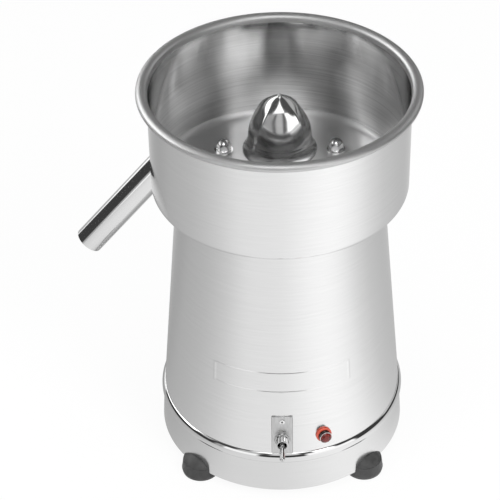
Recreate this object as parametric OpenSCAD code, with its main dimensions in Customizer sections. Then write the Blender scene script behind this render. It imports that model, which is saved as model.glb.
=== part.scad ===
// Citrus press juicer: bowl with spout, motor stand, reamer on the motor shaft.
// Millimetres, +Z up. The origin is the centre of the circle of feet, on the surface it stands on.
// The front, with the switch, faces -Y. The spout points to -X.

/* [Bowl] */
// Outside diameter of the bowl wall
bowl_d = 248; // [236:1:262]
// Height of the bowl from the underside of its floor to the top of its rim
bowl_h = 114; // [96:1:130]
// Outside radius of the corner between floor and wall
bowl_corner_r = 8; // [5:0.5:11]
// Diameter of the rolled rim
rim_roll_d = 11.2; // [8:0.2:14]
// Thickness of the stainless sheet of bowl, body and base
sheet_t = 1.2; // [0.9:0.1:1.6]
// Outside diameter of the collar in the middle of the bowl
collar_d = 32; // [30:0.5:34]
// Height of the collar above the underside of the bowl floor
collar_h = 52; // [40:1:60]
// Diameter of the circle of the mounting studs
stud_circle_d = 156.8; // [154:0.2:160]
// Thickness of the rubber gasket under the bowl
gasket_t = 1.2; // [0.8:0.1:2]

/* [Spout] */
// Outside diameter of the spout tube
spout_d = 28; // [22:1:30]
// Length of the spout along its axis, from the bowl wall
spout_len = 101; // [60:1:120]
// Slope of the spout below the horizontal, in degrees
spout_slope = 50.3; // [44:0.5:56]
// Height of the spout's axis above the bowl's underside, at the bowl wall
spout_root_h = 11.4; // [10:0.2:16]

/* [Body] */
// Height of the conical body
body_h = 240.8; // [225:0.4:260]
// Diameter of the body at its top
body_top_d = 201.2; // [190:0.4:212]
// Diameter of the body where it meets the base
body_foot_d = 242.6; // [236:0.2:248]
// Half of the angle that the pressed frame spans on the front, in degrees
frame_half_angle = 35; // [20:1:45]
// Height of the pressed frame
frame_h = 22; // [16:1:30]
// Height of the frame's middle above the top of the base
frame_rise = 86; // [70:1:110]
// Width of the pressed line of the frame
frame_line_w = 2.2; // [1.6:0.1:3]

/* [Base] */
// Gap between the surface and the lower edge of the skirt
base_clear = 10.5; // [8:0.5:13]
// Height of the skirt below the bead
skirt_h = 37.5; // [32:0.5:44]
// Height of the rounded bead at the top of the base
bead_h = 10; // [8:0.5:12]
// How far the skirt's lower edge stands out from the body's foot
skirt_flare = 3.5; // [2:0.1:5]
// Height of the underside of the bottom cover above the surface
cover_rise = 22; // [20:0.5:26]

/* [Feet] */
// Diameter of a rubber foot
foot_d = 39.2; // [34:0.2:42]
// How far a foot's centre lies inside the skirt's lower edge
foot_inset = 6.8; // [6.4:0.1:9]
// Angle of the feet from the front, in degrees
foot_angle = 45; // [35:1:50]

/* [Controls] */
// Height of the switch and the lamp above the top of the base
control_rise = 17.5; // [16.5:0.5:24]
// Width of the switch plate
plate_w = 21; // [19:0.5:26]
// Height of the switch plate above the switch's axis
plate_above = 28.5; // [24:0.5:34]
// Height of the switch plate below the switch's axis
plate_below = 16.8; // [15.5:0.1:17]
// Thickness of the switch plate
plate_t = 1.2; // [0.8:0.1:2]
// Diameter of the switch's threaded bushing
bushing_d = 11.9; // [11:0.1:12.5]
// How far the bushing stands out from the plate
bushing_out = 9.5; // [8:0.5:12]
// Length of the switch lever outside the bushing
lever_len = 17.5; // [12:0.5:22]
// Tilt of the switch lever each way from its middle, in degrees
lever_tilt = 13; // [8:1:15]
// Angle of the lamp to the right of the switch, in degrees
lamp_angle = 20; // [16:1:40]
// Diameter of the lamp's flange
lamp_flange_d = 16; // [14:0.5:20]
// Diameter of the lamp's lens
lamp_lens_d = 11.3; // [9:0.1:12]
// How far the lamp stands out from the body
lamp_out = 9.6; // [8:0.2:13]
// Bore of the cord grommet
cord_bore_d = 8; // [6:0.5:10]

/* [Reamer] */
// Diameter of the flange at the foot of the reamer
reamer_flange_d = 71.2; // [68:0.2:78]
// Height of the reamer, flange to tip
reamer_h = 63.5; // [61:0.5:72]
// Diameter of the reamer's dome at its foot
reamer_dome_d = 60.8; // [58:0.2:64]
// Fullness of the dome: higher is blunter
dome_fullness = 2.5; // [2:0.1:3.5]
// Radius of the hollow ground between two ridges
scoop_r = 60; // [50:1:120]
// Share of that hollow that is taken, at its deepest
scoop_share = 0.6; // [0.2:0.05:0.8]
// Angle of each flute from the low ridge beside it, at the foot, in degrees
flute_spread = 17; // [10:0.5:20]
// Angle of the ridges from the slot for the drive pin, in degrees
ridge_turn = 5; // [0:1:44]
// Height of the hollow under the reamer
hollow_h = 15; // [12:0.5:16]

/* [Motor] */
// Diameter of the motor's stator
stator_d = 140; // [134:1:142]
// Height of the stack of laminations
stack_h = 50; // [36:1:60]
// Diameter of the motor shaft in its bearings
shaft_d = 12; // [11:0.5:12.5]
// Diameter of the rotor
rotor_d = 69.2; // [60:0.2:70]
// Air gap between rotor and stator
air_gap = 0.4; // [0.3:0.1:0.8]
// Length of the drive pin across the shaft
drive_pin_len = 24; // [18:1:30]
// Diameter of the drive pin
drive_pin_d = 4; // [3:0.5:5]
// Diameter of the motor's cooling fan
fan_d = 112; // [90:1:124]

/* [Hidden] */
$fn = 96;
eps = 0.01;
FRONT = 270;
REAR = 90;
fit = 0.05;         // running fit, on the radius
hole_gap = 0.2;     // clearance hole, on the radius
seat_gap = 0.05;    // between a flat piece and a curved one that carries it

// Levels, from the surface upwards
crease_z = base_clear + skirt_h;
base_top_z = crease_z + bead_h;
body_top_z = base_top_z + body_h;
bowl_z = body_top_z + gasket_t;
bowl_floor_z = bowl_z + sheet_t;
control_z = base_top_z + control_rise;
frame_z = base_top_z + frame_rise;

// Bowl
bowl_r = bowl_d / 2;
bowl_inner_r = bowl_r - sheet_t;
roll_r = rim_roll_d / 2;
collar_r = collar_d / 2;
collar_t = 1.5;
collar_bore_r = collar_r - collar_t;
collar_flange_r = collar_r + 6;
collar_top_z = bowl_z + collar_h;
stud_r = 4;
stud_circle_r = stud_circle_d / 2;
stud_angles = [45, 135, 225, 315];
washer_t = 1.5;
dome_nut_z = bowl_floor_z + washer_t;
dome_nut_hex_h = 6;
nut_af = 13;

// Spout
spout_r = spout_d / 2;
spout_bore_r = spout_r - sheet_t;
spout_cut_h = 60;
spout_root_z = bowl_z + spout_root_h;

// Body
body_top_r = body_top_d / 2;
body_foot_r = body_foot_d / 2;
body_taper = atan((body_foot_r - body_top_r) / body_h);
wall_run = sheet_t / cos(body_taper);
body_flange_w = 15;
body_mouth_r = 22;
function body_r(z) = body_foot_r - (z - base_top_z) * tan(body_taper);

// Base
bead_arc_r = 8;
bead_out = 2.2;
bead_r = body_foot_r + bead_out;
bead_centre_r = bead_r - bead_arc_r;
bead_end_r = bead_centre_r + sqrt(bead_arc_r * bead_arc_r - bead_h * bead_h / 4);
skirt_foot_r = body_foot_r + skirt_flare;
skirt_top_r = body_foot_r + 1.3;
function skirt_r(z) = skirt_foot_r + (skirt_top_r - skirt_foot_r) * (z - base_clear) / skirt_h;
base_flange_r = body_foot_r - body_flange_w;
pillar_angles = [20, 110, 200, 290];
pillar_circle_r = body_foot_r - 8.6;
pillar_af = 8;
m4_r = 2;
m4_head_r = 3.8;
m4_head_h = 2.6;
screw_reach = 10;
cover_top_z = cover_rise + sheet_t;
cover_r = skirt_r(cover_rise) - sheet_t - 0.6;
vent_slots = 16;
vent_len = 34;
vent_w = 5;
vent_circle_r = 66;

// Feet
foot_r = foot_d / 2;
foot_circle_r = skirt_foot_r - foot_inset;
foot_wide_z = 4.5;
foot_crease_z = 15;
foot_crease_r = foot_r - 2.1;
foot_flat_r = 7;
foot_pocket_z = 8;
foot_grip = 0.1;

// Controls
nut_14_af = 14.3;
toggle_hole_r = bushing_d / 2 + 0.1;
key_rise = 10.9;
key_w = 5.4;
key_t = 1.3;
plate_front = plate_t + seat_gap;
key_washer_r = 8.6;
key_washer_drop = sheet_t + key_washer_r * key_washer_r / body_foot_r / 2 + 0.35;
key_washer_t = 1;
toggle_drop = key_washer_drop + key_washer_t;
toggle_w = 17;
toggle_deep = 19;
toggle_nut_t = 2.6;
bushing_end = plate_front + bushing_out;
pivot_in = 7;
pivot_rise = bushing_end - pivot_in;
pivot_ball_r = 3.2;
lever_root_r = 1.9;
lever_tip_r = 2.75;
rivet_r = 1.6;
rivet_head_r = 2.85;
rivet_inset = 6;
rivet_foot_inset = 4.4;
rivet_spots = [plate_above - rivet_inset, -plate_below + rivet_foot_inset];
toggle_h = 2 * (plate_below - rivet_foot_inset - rivet_r - 0.8);
lamp_flange_t = 2.2;
lamp_barrel_r = lamp_lens_d / 2 + 0.55;
lamp_stem_r = 5;
lamp_az = FRONT + lamp_angle;
lamp_lens_dome = 2.6;
lamp_nut_drop = sheet_t + 0.75;
grommet_z = base_top_z + 30;
grommet_groove_r = cord_bore_d / 2 + 2.5;
grommet_flange_r = grommet_groove_r + 2.5;

// Motor: the top bell hangs under the body's top, the rest hangs from it
bell_top_z = body_top_z - sheet_t;
bell_flange_t = 6;
bell_flange_r = stud_circle_r + 9.6;
bell_roof_t = 7.6;
bell_cup_h = 32;
stud_nut_h = 6.4;
stud_z = bell_top_z - bell_flange_t - stud_nut_h - 1.6;
spot_face_r = nut_af / 2 / cos(30) + 0.8;
bolt_bite = 16;
stack_top_z = bell_top_z - bell_flange_t - bell_roof_t - bell_cup_h;
stack_foot_z = stack_top_z - stack_h;
stator_r = stator_d / 2;
bell_wall_t = 9;
bell_inner_r = stator_r - bell_wall_t;
bell_floor_z = stack_foot_z - 34;
bell_floor_t = 8;
bell_window_h = 14;
bell_window_w = 18;
bolt_r = 2.5;
bolt_circle_r = stator_r - bell_wall_t / 2;
bolt_angles = [0, 90, 180, 270];
winding_outer_r = bell_inner_r - 4;
winding_inner_r = rotor_d / 2 + 3.4;
winding_h = 18;
shaft_r = shaft_d / 2;
bearing_r = shaft_r + 10;
bearing_h = 10;
race_inner_r = shaft_r + 3.1;
race_outer_r = bearing_r - 3;
ball_pitch_r = (race_inner_r + race_outer_r) / 2;
ball_r = 2.95;
groove_r = 3.0;
ball_count = 7;
boss_r = bearing_r + 6;
upper_bearing_z = stack_top_z + 16;
lower_bearing_z = bell_floor_z + 10;
shaft_core_r = shaft_r + 2;
rotor_r = rotor_d / 2;
stator_bore_r = rotor_r + air_gap;
fan_top_z = bell_floor_z - 6;
fan_h = 18;
fan_hub_r = 13;
fan_blades = 9;
shaft_foot_z = fan_top_z - fan_h - 4;
seal_h = 8;
slinger_gap = 0.7;
slinger_h = 2.4;
slinger_r = collar_r + 2.5;

// Reamer: its hub sits on the drive pin just above the slinger
drive_pin_r = drive_pin_d / 2;
hub_z = collar_top_z + slinger_gap + slinger_h + 0.9;
drive_pin_z = hub_z + drive_pin_r;
reamer_z = hub_z - hollow_h;
reamer_tip_z = reamer_z + reamer_h;
shaft_top_z = reamer_tip_z - 18;
reamer_flange_r = reamer_flange_d / 2;
reamer_dome_r = reamer_dome_d / 2;
dome_foot_z = reamer_z + 15;
hollow_r = slinger_r + 4.5;
// The dome ends at dome_top_z, and a small cone stands on it and carries it on to the tip
dome_top_z = reamer_tip_z - 3;
point_r = 4;
point_slope = 0.75;
// Above this height the two flutes of each scoop run together
flute_top_z = reamer_tip_z - 14.5;

// ---- helpers ----

// Puts children on the cone of the body: +Z points out of it, +Y up along it
module on_body(azimuth, z) {
    translate([body_r(z) * cos(azimuth), body_r(z) * sin(azimuth), z])
        rotate([0, 0, azimuth - FRONT])
            rotate([90 - body_taper, 0, 0])
                children();
}

module around(angles, radius) {
    for (a = angles)
        rotate([0, 0, a])
            translate([radius, 0, 0])
                children();
}

module ring(outer, inner, h) {
    difference() {
        cylinder(r = outer, h = h);
        translate([0, 0, -1])
            cylinder(r = inner, h = h + 2);
    }
}

module hex(across, h) {
    cylinder(d = across / cos(30), h = h, $fn = 6);
}

// Axis of the spout: +Z runs out along it, from its root on the bowl wall
module on_spout() {
    translate([-bowl_r, 0, spout_root_z])
        rotate([0, -90 - spout_slope, 0])
            children();
}

// ---- bowl ----

module bowl_outline() {
    roll_x = bowl_inner_r + roll_r;
    roll_z = bowl_h - roll_r;
    translate([collar_bore_r, 0])
        square([bowl_r - bowl_corner_r - collar_bore_r, sheet_t]);
    intersection() {
        translate([bowl_r - bowl_corner_r, bowl_corner_r])
            difference() {
                circle(r = bowl_corner_r);
                circle(r = bowl_corner_r - sheet_t);
            }
        translate([bowl_r - bowl_corner_r, 0])
            square([bowl_corner_r, bowl_corner_r]);
    }
    translate([bowl_inner_r, bowl_corner_r])
        square([sheet_t, roll_z - bowl_corner_r]);
    difference() {
        translate([roll_x, roll_z])
            circle(r = roll_r);
        translate([roll_x, roll_z])
            circle(r = roll_r - sheet_t);
        translate([bowl_inner_r - 1, roll_z - roll_r - 1])
            square([roll_r, roll_r + 1]);
    }
}

module bowl() {
    color("gainsboro")
        difference() {
            translate([0, 0, bowl_z])
                rotate_extrude()
                    bowl_outline();
            around(stud_angles, stud_circle_r)
                translate([0, 0, bowl_z - 1])
                    cylinder(r = stud_r + hole_gap, h = sheet_t + 2);
            on_spout()
                translate([0, 0, -spout_cut_h / 2])
                    cylinder(r = spout_bore_r, h = spout_cut_h);
        }
}

module bowl_collar() {
    color("silver")
        translate([0, 0, bowl_floor_z])
            rotate_extrude()
                difference() {
                    square([collar_flange_r, collar_h - sheet_t]);
                    square([collar_bore_r, collar_h]);
                    translate([collar_flange_r, collar_t + collar_flange_r - collar_r])
                        circle(r = collar_flange_r - collar_r);
                    translate([collar_r, collar_t + collar_flange_r - collar_r])
                        square([collar_flange_r, collar_h]);
                }
}

module spout_tube() {
    color("gainsboro")
        difference() {
            on_spout()
                translate([0, 0, -20])
                    ring(spout_r, spout_bore_r, spout_len + 20);
            translate([0, 0, bowl_z])
                rotate_extrude() {
                    square([bowl_r - bowl_corner_r, bowl_h]);
                    translate([0, bowl_corner_r])
                        square([bowl_r, bowl_h - bowl_corner_r]);
                    translate([bowl_r - bowl_corner_r, bowl_corner_r])
                        circle(r = bowl_corner_r);
                }
        }
}

module dome_nuts() {
    color("white")
        around(stud_angles, stud_circle_r)
            translate([0, 0, dome_nut_z])
                difference() {
                    union() {
                        hex(nut_af, dome_nut_hex_h);
                        translate([0, 0, dome_nut_hex_h - 1])
                            sphere(r = nut_af / 2 - 0.2);
                    }
                    translate([0, 0, -nut_af])
                        cylinder(r = nut_af, h = nut_af);
                    translate([0, 0, -1])
                        cylinder(r = stud_r, h = dome_nut_hex_h + 2);
                }
}

module dome_nut_washers() {
    color("silver")
        around(stud_angles, stud_circle_r)
            translate([0, 0, bowl_floor_z])
                ring(9.2, stud_r + hole_gap, washer_t);
}

module mounting_studs() {
    color("grey")
        around(stud_angles, stud_circle_r)
            translate([0, 0, stud_z])
                cylinder(r = stud_r, h = dome_nut_z + dome_nut_hex_h - stud_z);
}

module stud_nuts() {
    color("grey")
        around(stud_angles, stud_circle_r)
            translate([0, 0, bell_top_z - bell_flange_t - stud_nut_h])
                difference() {
                    hex(nut_af, stud_nut_h);
                    translate([0, 0, -1])
                        cylinder(r = stud_r, h = stud_nut_h + 2);
                }
}

module bowl_gasket() {
    color("dimgray")
        translate([0, 0, body_top_z])
            difference() {
                ring(body_top_r - 6, body_mouth_r, gasket_t);
                around(stud_angles, stud_circle_r)
                    translate([0, 0, -1])
                        cylinder(r = stud_r + hole_gap, h = gasket_t + 2);
            }
}

// ---- body ----

module body_frame_line(z) {
    half = frame_line_w / 2;
    rise = 0.8;
    rotate([0, 0, FRONT - frame_half_angle])
        rotate_extrude(angle = 2 * frame_half_angle)
            polygon([
                [body_r(z - half) - 0.5, z - half],
                [body_r(z - half / 2) + rise, z - half / 2],
                [body_r(z + half / 2) + rise, z + half / 2],
                [body_r(z + half) - 0.5, z + half]
            ]);
}

module body_frame() {
    body_frame_line(frame_z - frame_h / 2);
    body_frame_line(frame_z + frame_h / 2);
    for (side = [-1, 1])
        on_body(FRONT + side * frame_half_angle, frame_z)
            translate([-frame_line_w / 2, -frame_h / 2, -0.5])
                cube([frame_line_w, frame_h, 1.3]);
}

module body_cone() {
    rotate_extrude()
        polygon([
            [body_foot_r, base_top_z],
            [body_top_r + sheet_t * tan(body_taper), body_top_z - sheet_t],
            [body_top_r - sheet_t, body_top_z],
            [body_mouth_r, body_top_z],
            [body_mouth_r, body_top_z - sheet_t],
            [body_top_r - wall_run - 1, body_top_z - sheet_t],
            [body_foot_r - wall_run, base_top_z + sheet_t],
            [base_flange_r, base_top_z + sheet_t],
            [base_flange_r, base_top_z]
        ]);
}

module body_shell() {
    color("gainsboro")
        difference() {
            union() {
                body_cone();
                body_frame();
            }
            around(stud_angles, stud_circle_r)
                translate([0, 0, body_top_z - sheet_t - 1])
                    cylinder(r = stud_r + hole_gap, h = sheet_t + 2);
            around(pillar_angles, pillar_circle_r)
                translate([0, 0, base_top_z - 1])
                    cylinder(r = m4_r + hole_gap, h = sheet_t + 2);
            on_body(FRONT, control_z) {
                translate([0, 0, -5])
                    cylinder(r = toggle_hole_r, h = 10);
                translate([-key_w / 2, key_rise - key_t / 2, -5])
                    cube([key_w, key_t, 10]);
                for (y = rivet_spots)
                    translate([0, y, -5])
                        cylinder(r = rivet_r + fit, h = 10);
            }
            on_body(lamp_az, control_z)
                translate([0, 0, -5])
                    cylinder(r = lamp_stem_r + 0.1, h = 10);
            on_body(REAR, grommet_z)
                translate([0, 0, -5])
                    cylinder(r = grommet_groove_r, h = 10);
        }
}

// ---- base ----

module base_outline() {
    polygon([
        [skirt_foot_r, base_clear],
        [skirt_top_r, crease_z],
        [skirt_top_r - sheet_t, crease_z],
        [skirt_foot_r - sheet_t, base_clear]
    ]);
    intersection() {
        translate([bead_centre_r, crease_z + bead_h / 2])
            difference() {
                circle(r = bead_arc_r);
                circle(r = bead_arc_r - sheet_t);
            }
        translate([bead_centre_r, crease_z - 0.6])
            square([bead_arc_r + 1, bead_h + 0.6]);
    }
    translate([base_flange_r, base_top_z - sheet_t])
        square([bead_end_r - base_flange_r, sheet_t]);
}

module base_ring() {
    color("lightgray")
        difference() {
            rotate_extrude()
                base_outline();
            around(pillar_angles, pillar_circle_r)
                translate([0, 0, base_top_z - sheet_t - 1])
                    cylinder(r = m4_r + hole_gap, h = sheet_t + 2);
        }
}

module base_pillars() {
    pillar_h = base_top_z - sheet_t - cover_top_z;
    color("darkgray")
        around(pillar_angles, pillar_circle_r)
            translate([0, 0, cover_top_z])
                difference() {
                    hex(pillar_af, pillar_h);
                    translate([0, 0, -1])
                        cylinder(r = m4_r, h = pillar_h + 2);
                }
}

module pan_head() {
    intersection() {
        cylinder(r = m4_head_r, h = m4_head_h);
        translate([0, 0, m4_head_h - 6])
            sphere(r = 6);
    }
}

module base_screws() {
    color("silver")
        around(pillar_angles, pillar_circle_r)
            translate([0, 0, base_top_z + sheet_t]) {
                pan_head();
                translate([0, 0, -screw_reach])
                    cylinder(r = m4_r, h = screw_reach);
            }
}

module cover_screws() {
    color("silver")
        around(pillar_angles, pillar_circle_r)
            translate([0, 0, cover_rise]) {
                mirror([0, 0, 1])
                    pan_head();
                cylinder(r = m4_r, h = screw_reach);
            }
}

module bottom_cover() {
    color("darkgray")
        difference() {
            translate([0, 0, cover_rise])
                cylinder(r = cover_r, h = sheet_t);
            around(pillar_angles, pillar_circle_r)
                translate([0, 0, cover_rise - 1])
                    cylinder(r = m4_r + hole_gap, h = sheet_t + 2);
            rotate([0, 0, FRONT - foot_angle])
                around([0, 2 * foot_angle, 180, 180 + 2 * foot_angle], foot_circle_r)
                    translate([0, 0, cover_rise - 1])
                        cylinder(r = m4_r + hole_gap, h = sheet_t + 2);
            for (i = [0 : vent_slots - 1])
                rotate([0, 0, (i + 0.5) * 360 / vent_slots])
                    translate([vent_circle_r - vent_len / 2, -vent_w / 2, cover_rise - 1])
                        cube([vent_len, vent_w, sheet_t + 2]);
            on_cover(capacitor_place)
                translate([0, 0, cover_rise - 1])
                    cylinder(r = m4_r + hole_gap, h = sheet_t + 2);
        }
}

// ---- feet ----

module foot_outline() {
    dome_z = (foot_flat_r * foot_flat_r + cover_rise * cover_rise
        - foot_crease_r * foot_crease_r - foot_crease_z * foot_crease_z)
        / (2 * (cover_rise - foot_crease_z));
    dome_r = sqrt(foot_flat_r * foot_flat_r + (cover_rise - dome_z) * (cover_rise - dome_z));
    polygon([
        [0, 0],
        [foot_r - 2, 0],
        [foot_r - 0.7, 1.2],
        [foot_r, foot_wide_z],
        [foot_r - 0.5, foot_wide_z + 3],
        [foot_crease_r + 0.6, foot_crease_z],
        [0, foot_crease_z]
    ]);
    intersection() {
        translate([0, dome_z])
            circle(r = dome_r);
        translate([0, foot_crease_z - 1])
            square([foot_crease_r, cover_rise - foot_crease_z + 1]);
    }
}

module foot(azimuth) {
    difference() {
        rotate([0, 0, azimuth])
            translate([foot_circle_r, 0, 0])
                difference() {
                    rotate_extrude()
                        foot_outline();
                    translate([0, 0, -1])
                        cylinder(r = 5.6, h = foot_pocket_z + 1);
                    cylinder(r = m4_r + hole_gap, h = cover_rise + 1);
                }
        rotate_extrude()
            polygon([
                [skirt_foot_r - sheet_t - foot_grip, base_clear],
                [skirt_foot_r + foot_grip, base_clear],
                [skirt_r(cover_rise + 2) + foot_grip, cover_rise + 2],
                [skirt_r(cover_rise + 2) - sheet_t - foot_grip, cover_rise + 2]
            ]);
    }
}

module foot_front_left() {
    color("dimgray")
        foot(FRONT - foot_angle);
}

module foot_front_right() {
    color("dimgray")
        foot(FRONT + foot_angle);
}

module foot_rear_left() {
    color("dimgray")
        foot(REAR + foot_angle);
}

module foot_rear_right() {
    color("dimgray")
        foot(REAR - foot_angle);
}

module at_feet() {
    for (a = [FRONT - foot_angle, FRONT + foot_angle, REAR - foot_angle, REAR + foot_angle])
        rotate([0, 0, a])
            translate([foot_circle_r, 0, 0])
                children();
}

module foot_bolts() {
    color("silver")
        at_feet() {
            translate([0, 0, foot_pocket_z])
                mirror([0, 0, 1])
                    pan_head();
            translate([0, 0, foot_pocket_z])
                cylinder(r = m4_r, h = cover_top_z + 6 - foot_pocket_z);
        }
}

module foot_nuts() {
    nut_h = 3.2;
    color("silver")
        at_feet()
            translate([0, 0, cover_top_z])
                difference() {
                    hex(7, nut_h);
                    translate([0, 0, -1])
                        cylinder(r = m4_r, h = nut_h + 2);
                }
}

// ---- switch ----

module switch_plate() {
    color("silver")
        on_body(FRONT, control_z)
            translate([0, 0, seat_gap])
                difference() {
                    translate([-plate_w / 2, -plate_below, 0])
                        cube([plate_w, plate_below + plate_above, plate_t]);
                    translate([0, 0, -1])
                        cylinder(r = toggle_hole_r, h = plate_t + 2);
                    translate([-key_w / 2, key_rise - key_t / 2, -1])
                        cube([key_w, key_t, plate_t + 2]);
                    for (y = rivet_spots)
                        translate([0, y, -1])
                            cylinder(r = rivet_r + fit, h = plate_t + 2);
                }
}

module plate_rivets() {
    tail = 3;
    head_h = 1.1;
    color("white")
        on_body(FRONT, control_z)
            for (y = rivet_spots)
                translate([0, y, plate_front])
                    difference() {
                        union() {
                            intersection() {
                                cylinder(r = rivet_head_r, h = head_h);
                                translate([0, 0, head_h - 4.6])
                                    sphere(r = 4.6);
                            }
                            translate([0, 0, -plate_front - sheet_t - tail])
                                cylinder(r = rivet_r, h = plate_front + sheet_t + tail);
                        }
                        translate([0, 0, -0.4])
                            cylinder(r = 0.8, h = head_h + 1);
                    }
}

module toggle_body() {
    color("black")
        on_body(FRONT, control_z)
            translate([-toggle_w / 2, -toggle_h / 2, -toggle_drop - toggle_deep])
                cube([toggle_w, toggle_h, toggle_deep]);
}

module toggle_bushing() {
    color("silver")
        on_body(FRONT, control_z)
            difference() {
                translate([0, 0, -toggle_drop])
                    cylinder(r = bushing_d / 2, h = toggle_drop + bushing_end);
                translate([0, 0, pivot_rise - 4.4])
                    cylinder(r = pivot_ball_r + 0.1, h = 20);
                translate([0, 0, pivot_rise + 2.4])
                    cylinder(r1 = pivot_ball_r + 0.1, r2 = pivot_ball_r + 1.5,
                        h = pivot_in - 2.4 + eps);
            }
}

module toggle_washer() {
    color("silver")
        on_body(FRONT, control_z)
            translate([0, 0, -toggle_drop]) {
                ring(key_washer_r, bushing_d / 2 + fit, key_washer_t);
                difference() {
                    translate([-key_w / 2 + 0.3, 0, 0])
                        cube([key_w - 0.6, key_rise + 0.4, key_washer_t]);
                    cylinder(r = key_washer_r - 1, h = 10, center = true);
                }
                translate([-key_w / 2 + 0.3, key_rise - 0.4, 0])
                    cube([key_w - 0.6, 0.8, toggle_drop + plate_t - 0.4]);
            }
}

module toggle_nut() {
    color("white")
        on_body(FRONT, control_z)
            translate([0, 0, plate_front])
                difference() {
                    union() {
                        cylinder(r = nut_14_af / 2 + 0.8, h = 0.7);
                        rotate([0, 0, 30])
                            hex(nut_14_af, toggle_nut_t);
                    }
                    translate([0, 0, -1])
                        cylinder(r = bushing_d / 2, h = toggle_nut_t + 2);
                }
}

module toggle_terminals() {
    color("goldenrod")
        on_body(FRONT, control_z)
            for (y = [-toggle_h / 4, toggle_h / 4])
                translate([-3, y - 0.4, -toggle_drop - toggle_deep - 7])
                    cube([6, 0.8, 7]);
}

// The lever, hanging down from its ball in the bushing
module toggle_lever() {
    neck = pivot_in;
    reach = pivot_in + lever_len;
    color("silver")
        on_body(FRONT, control_z)
            translate([0, 0, pivot_rise])
                rotate([lever_tilt, 0, 0]) {
                    sphere(r = pivot_ball_r);
                    cylinder(r = lever_root_r, h = neck);
                    translate([0, 0, neck])
                        cylinder(r1 = lever_root_r, r2 = lever_tip_r, h = reach - neck - lever_tip_r);
                    translate([0, 0, reach - lever_tip_r])
                        sphere(r = lever_tip_r);
                }
}

// ---- lamp ----

module lamp_flange() {
    color("salmon")
        on_body(lamp_az, control_z)
            translate([0, 0, seat_gap])
                ring(lamp_flange_d / 2, lamp_stem_r + 0.1, lamp_flange_t);
}

module lamp_barrel() {
    color("silver")
        on_body(lamp_az, control_z) {
            translate([0, 0, seat_gap + lamp_flange_t])
                difference() {
                    cylinder(r = lamp_barrel_r, h = lamp_out - lamp_flange_t - lamp_lens_dome);
                    translate([0, 0, 2])
                        cylinder(r = lamp_lens_d / 2, h = lamp_out);
                }
            translate([0, 0, -lamp_nut_drop - 7])
                ring(lamp_stem_r, 3.4, lamp_nut_drop + 7 + seat_gap + lamp_flange_t);
        }
}

module lamp_lens() {
    dome_r = 7.4;
    color("red")
        on_body(lamp_az, control_z)
            translate([0, 0, seat_gap + lamp_flange_t + 2])
                intersection() {
                    cylinder(r = lamp_lens_d / 2, h = lamp_out - lamp_flange_t - 2);
                    translate([0, 0, lamp_out - lamp_flange_t - 2 - dome_r])
                        sphere(r = dome_r);
                }
}

module lamp_nut() {
    color("silver")
        on_body(lamp_az, control_z)
            translate([0, 0, -lamp_nut_drop - 2.5])
                difference() {
                    hex(13.5, 2.5);
                    translate([0, 0, -1])
                        cylinder(r = lamp_stem_r, h = 5);
                }
}

module lamp_body() {
    color("black")
        on_body(lamp_az, control_z)
            translate([0, 0, -lamp_nut_drop - 25])
                cylinder(r = 5.6, h = 18);
}

// ---- cord inlet ----

module cord_grommet() {
    lip = 2.4;
    curve_drop = grommet_flange_r * grommet_flange_r / body_foot_r / 2 + 0.1;
    color("black")
        on_body(REAR, grommet_z)
            difference() {
                union() {
                    translate([0, 0, seat_gap])
                        cylinder(r = grommet_flange_r, h = lip);
                    translate([0, 0, -sheet_t - curve_drop - lip])
                        cylinder(r = grommet_flange_r, h = lip);
                    translate([0, 0, -sheet_t - curve_drop - lip])
                        cylinder(r = grommet_groove_r - fit, h = sheet_t + curve_drop + 2 * lip);
                }
                cylinder(r = cord_bore_d / 2, h = 40, center = true);
            }
}

// ---- capacitor ----

capacitor_r = 18;
capacitor_h = 68;
capacitor_place = [62, 62];
clamp_t = 1.5;

module on_cover(place) {
    translate([place[0], place[1], 0])
        children();
}

module capacitor() {
    color("white")
        on_cover(capacitor_place)
            translate([0, 0, cover_top_z + clamp_t]) {
                cylinder(r = capacitor_r, h = capacitor_h);
                for (x = [-6, 6])
                    translate([x - 3.2, -0.4, capacitor_h])
                        cube([6.4, 0.8, 8]);
            }
}

module capacitor_clamp() {
    color("silver")
        on_cover(capacitor_place) {
            translate([0, 0, cover_top_z])
                ring(capacitor_r + clamp_t, m4_r + hole_gap, clamp_t);
            translate([0, 0, cover_top_z + 1])
                ring(capacitor_r + clamp_t, capacitor_r, capacitor_h / 3);
        }
}

module capacitor_screw() {
    color("silver")
        on_cover(capacitor_place)
            translate([0, 0, cover_rise]) {
                mirror([0, 0, 1])
                    pan_head();
                cylinder(r = m4_r, h = sheet_t + clamp_t);
            }
}

// ---- motor ----

module stator_core() {
    color("slategray")
        translate([0, 0, stack_foot_z])
            difference() {
                ring(stator_r, stator_bore_r, stack_h);
                around(bolt_angles, bolt_circle_r)
                    translate([0, 0, -1])
                        cylinder(r = bolt_r + hole_gap, h = stack_h + 2);
            }
}

module stator_windings() {
    color("peru")
        for (z = [stack_foot_z - winding_h, stack_top_z])
            translate([0, 0, z])
                rotate_extrude()
                    translate([winding_inner_r, 0])
                        square([winding_outer_r - winding_inner_r, winding_h]);
}

module bell_windows(z) {
    for (i = [0 : 7])
        rotate([0, 0, (i + 0.5) * 45])
            translate([bell_inner_r - 5, -bell_window_w / 2, z])
                cube([bell_wall_t + 20, bell_window_w, bell_window_h]);
}

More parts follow.
